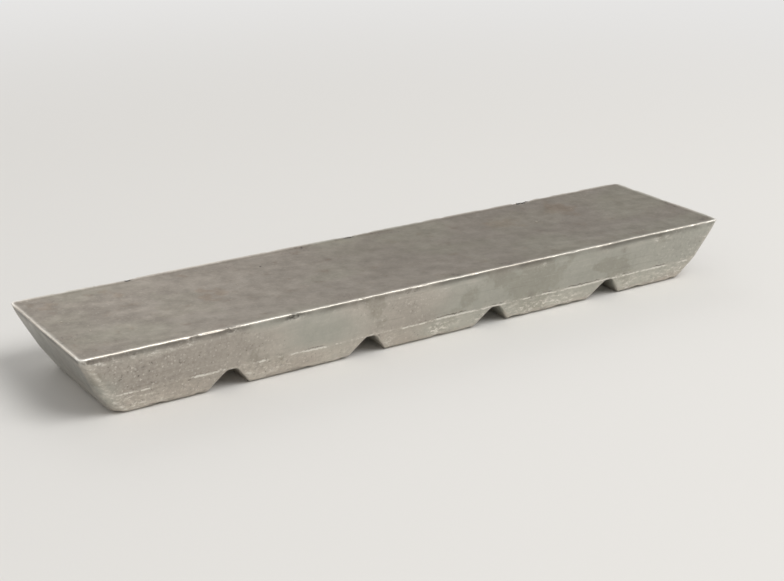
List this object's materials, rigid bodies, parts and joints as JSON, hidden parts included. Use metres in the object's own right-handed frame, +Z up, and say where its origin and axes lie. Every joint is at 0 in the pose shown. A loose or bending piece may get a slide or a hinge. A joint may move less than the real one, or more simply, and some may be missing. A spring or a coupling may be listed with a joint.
{
  "type": "zinc ingot",
  "caption": "Long cast bar of zinc, wide and flat on top, with leaning sides and ends and break notches across its narrow underside.",
  "frame": {"origin": "centre of the underside, on the floor that the ingot rests on", "axes": "+X along the bar, +Y across it, +Z up to the wide face that was cast open"},
  "size_m": [0.43, 0.1, 0.038],
  "materials": {
    "zinc": "as cast, dull grey"
  },
  "bodies": {
    "root": {"zinc_ingot": "zinc"}
  },
  "joints": []
}
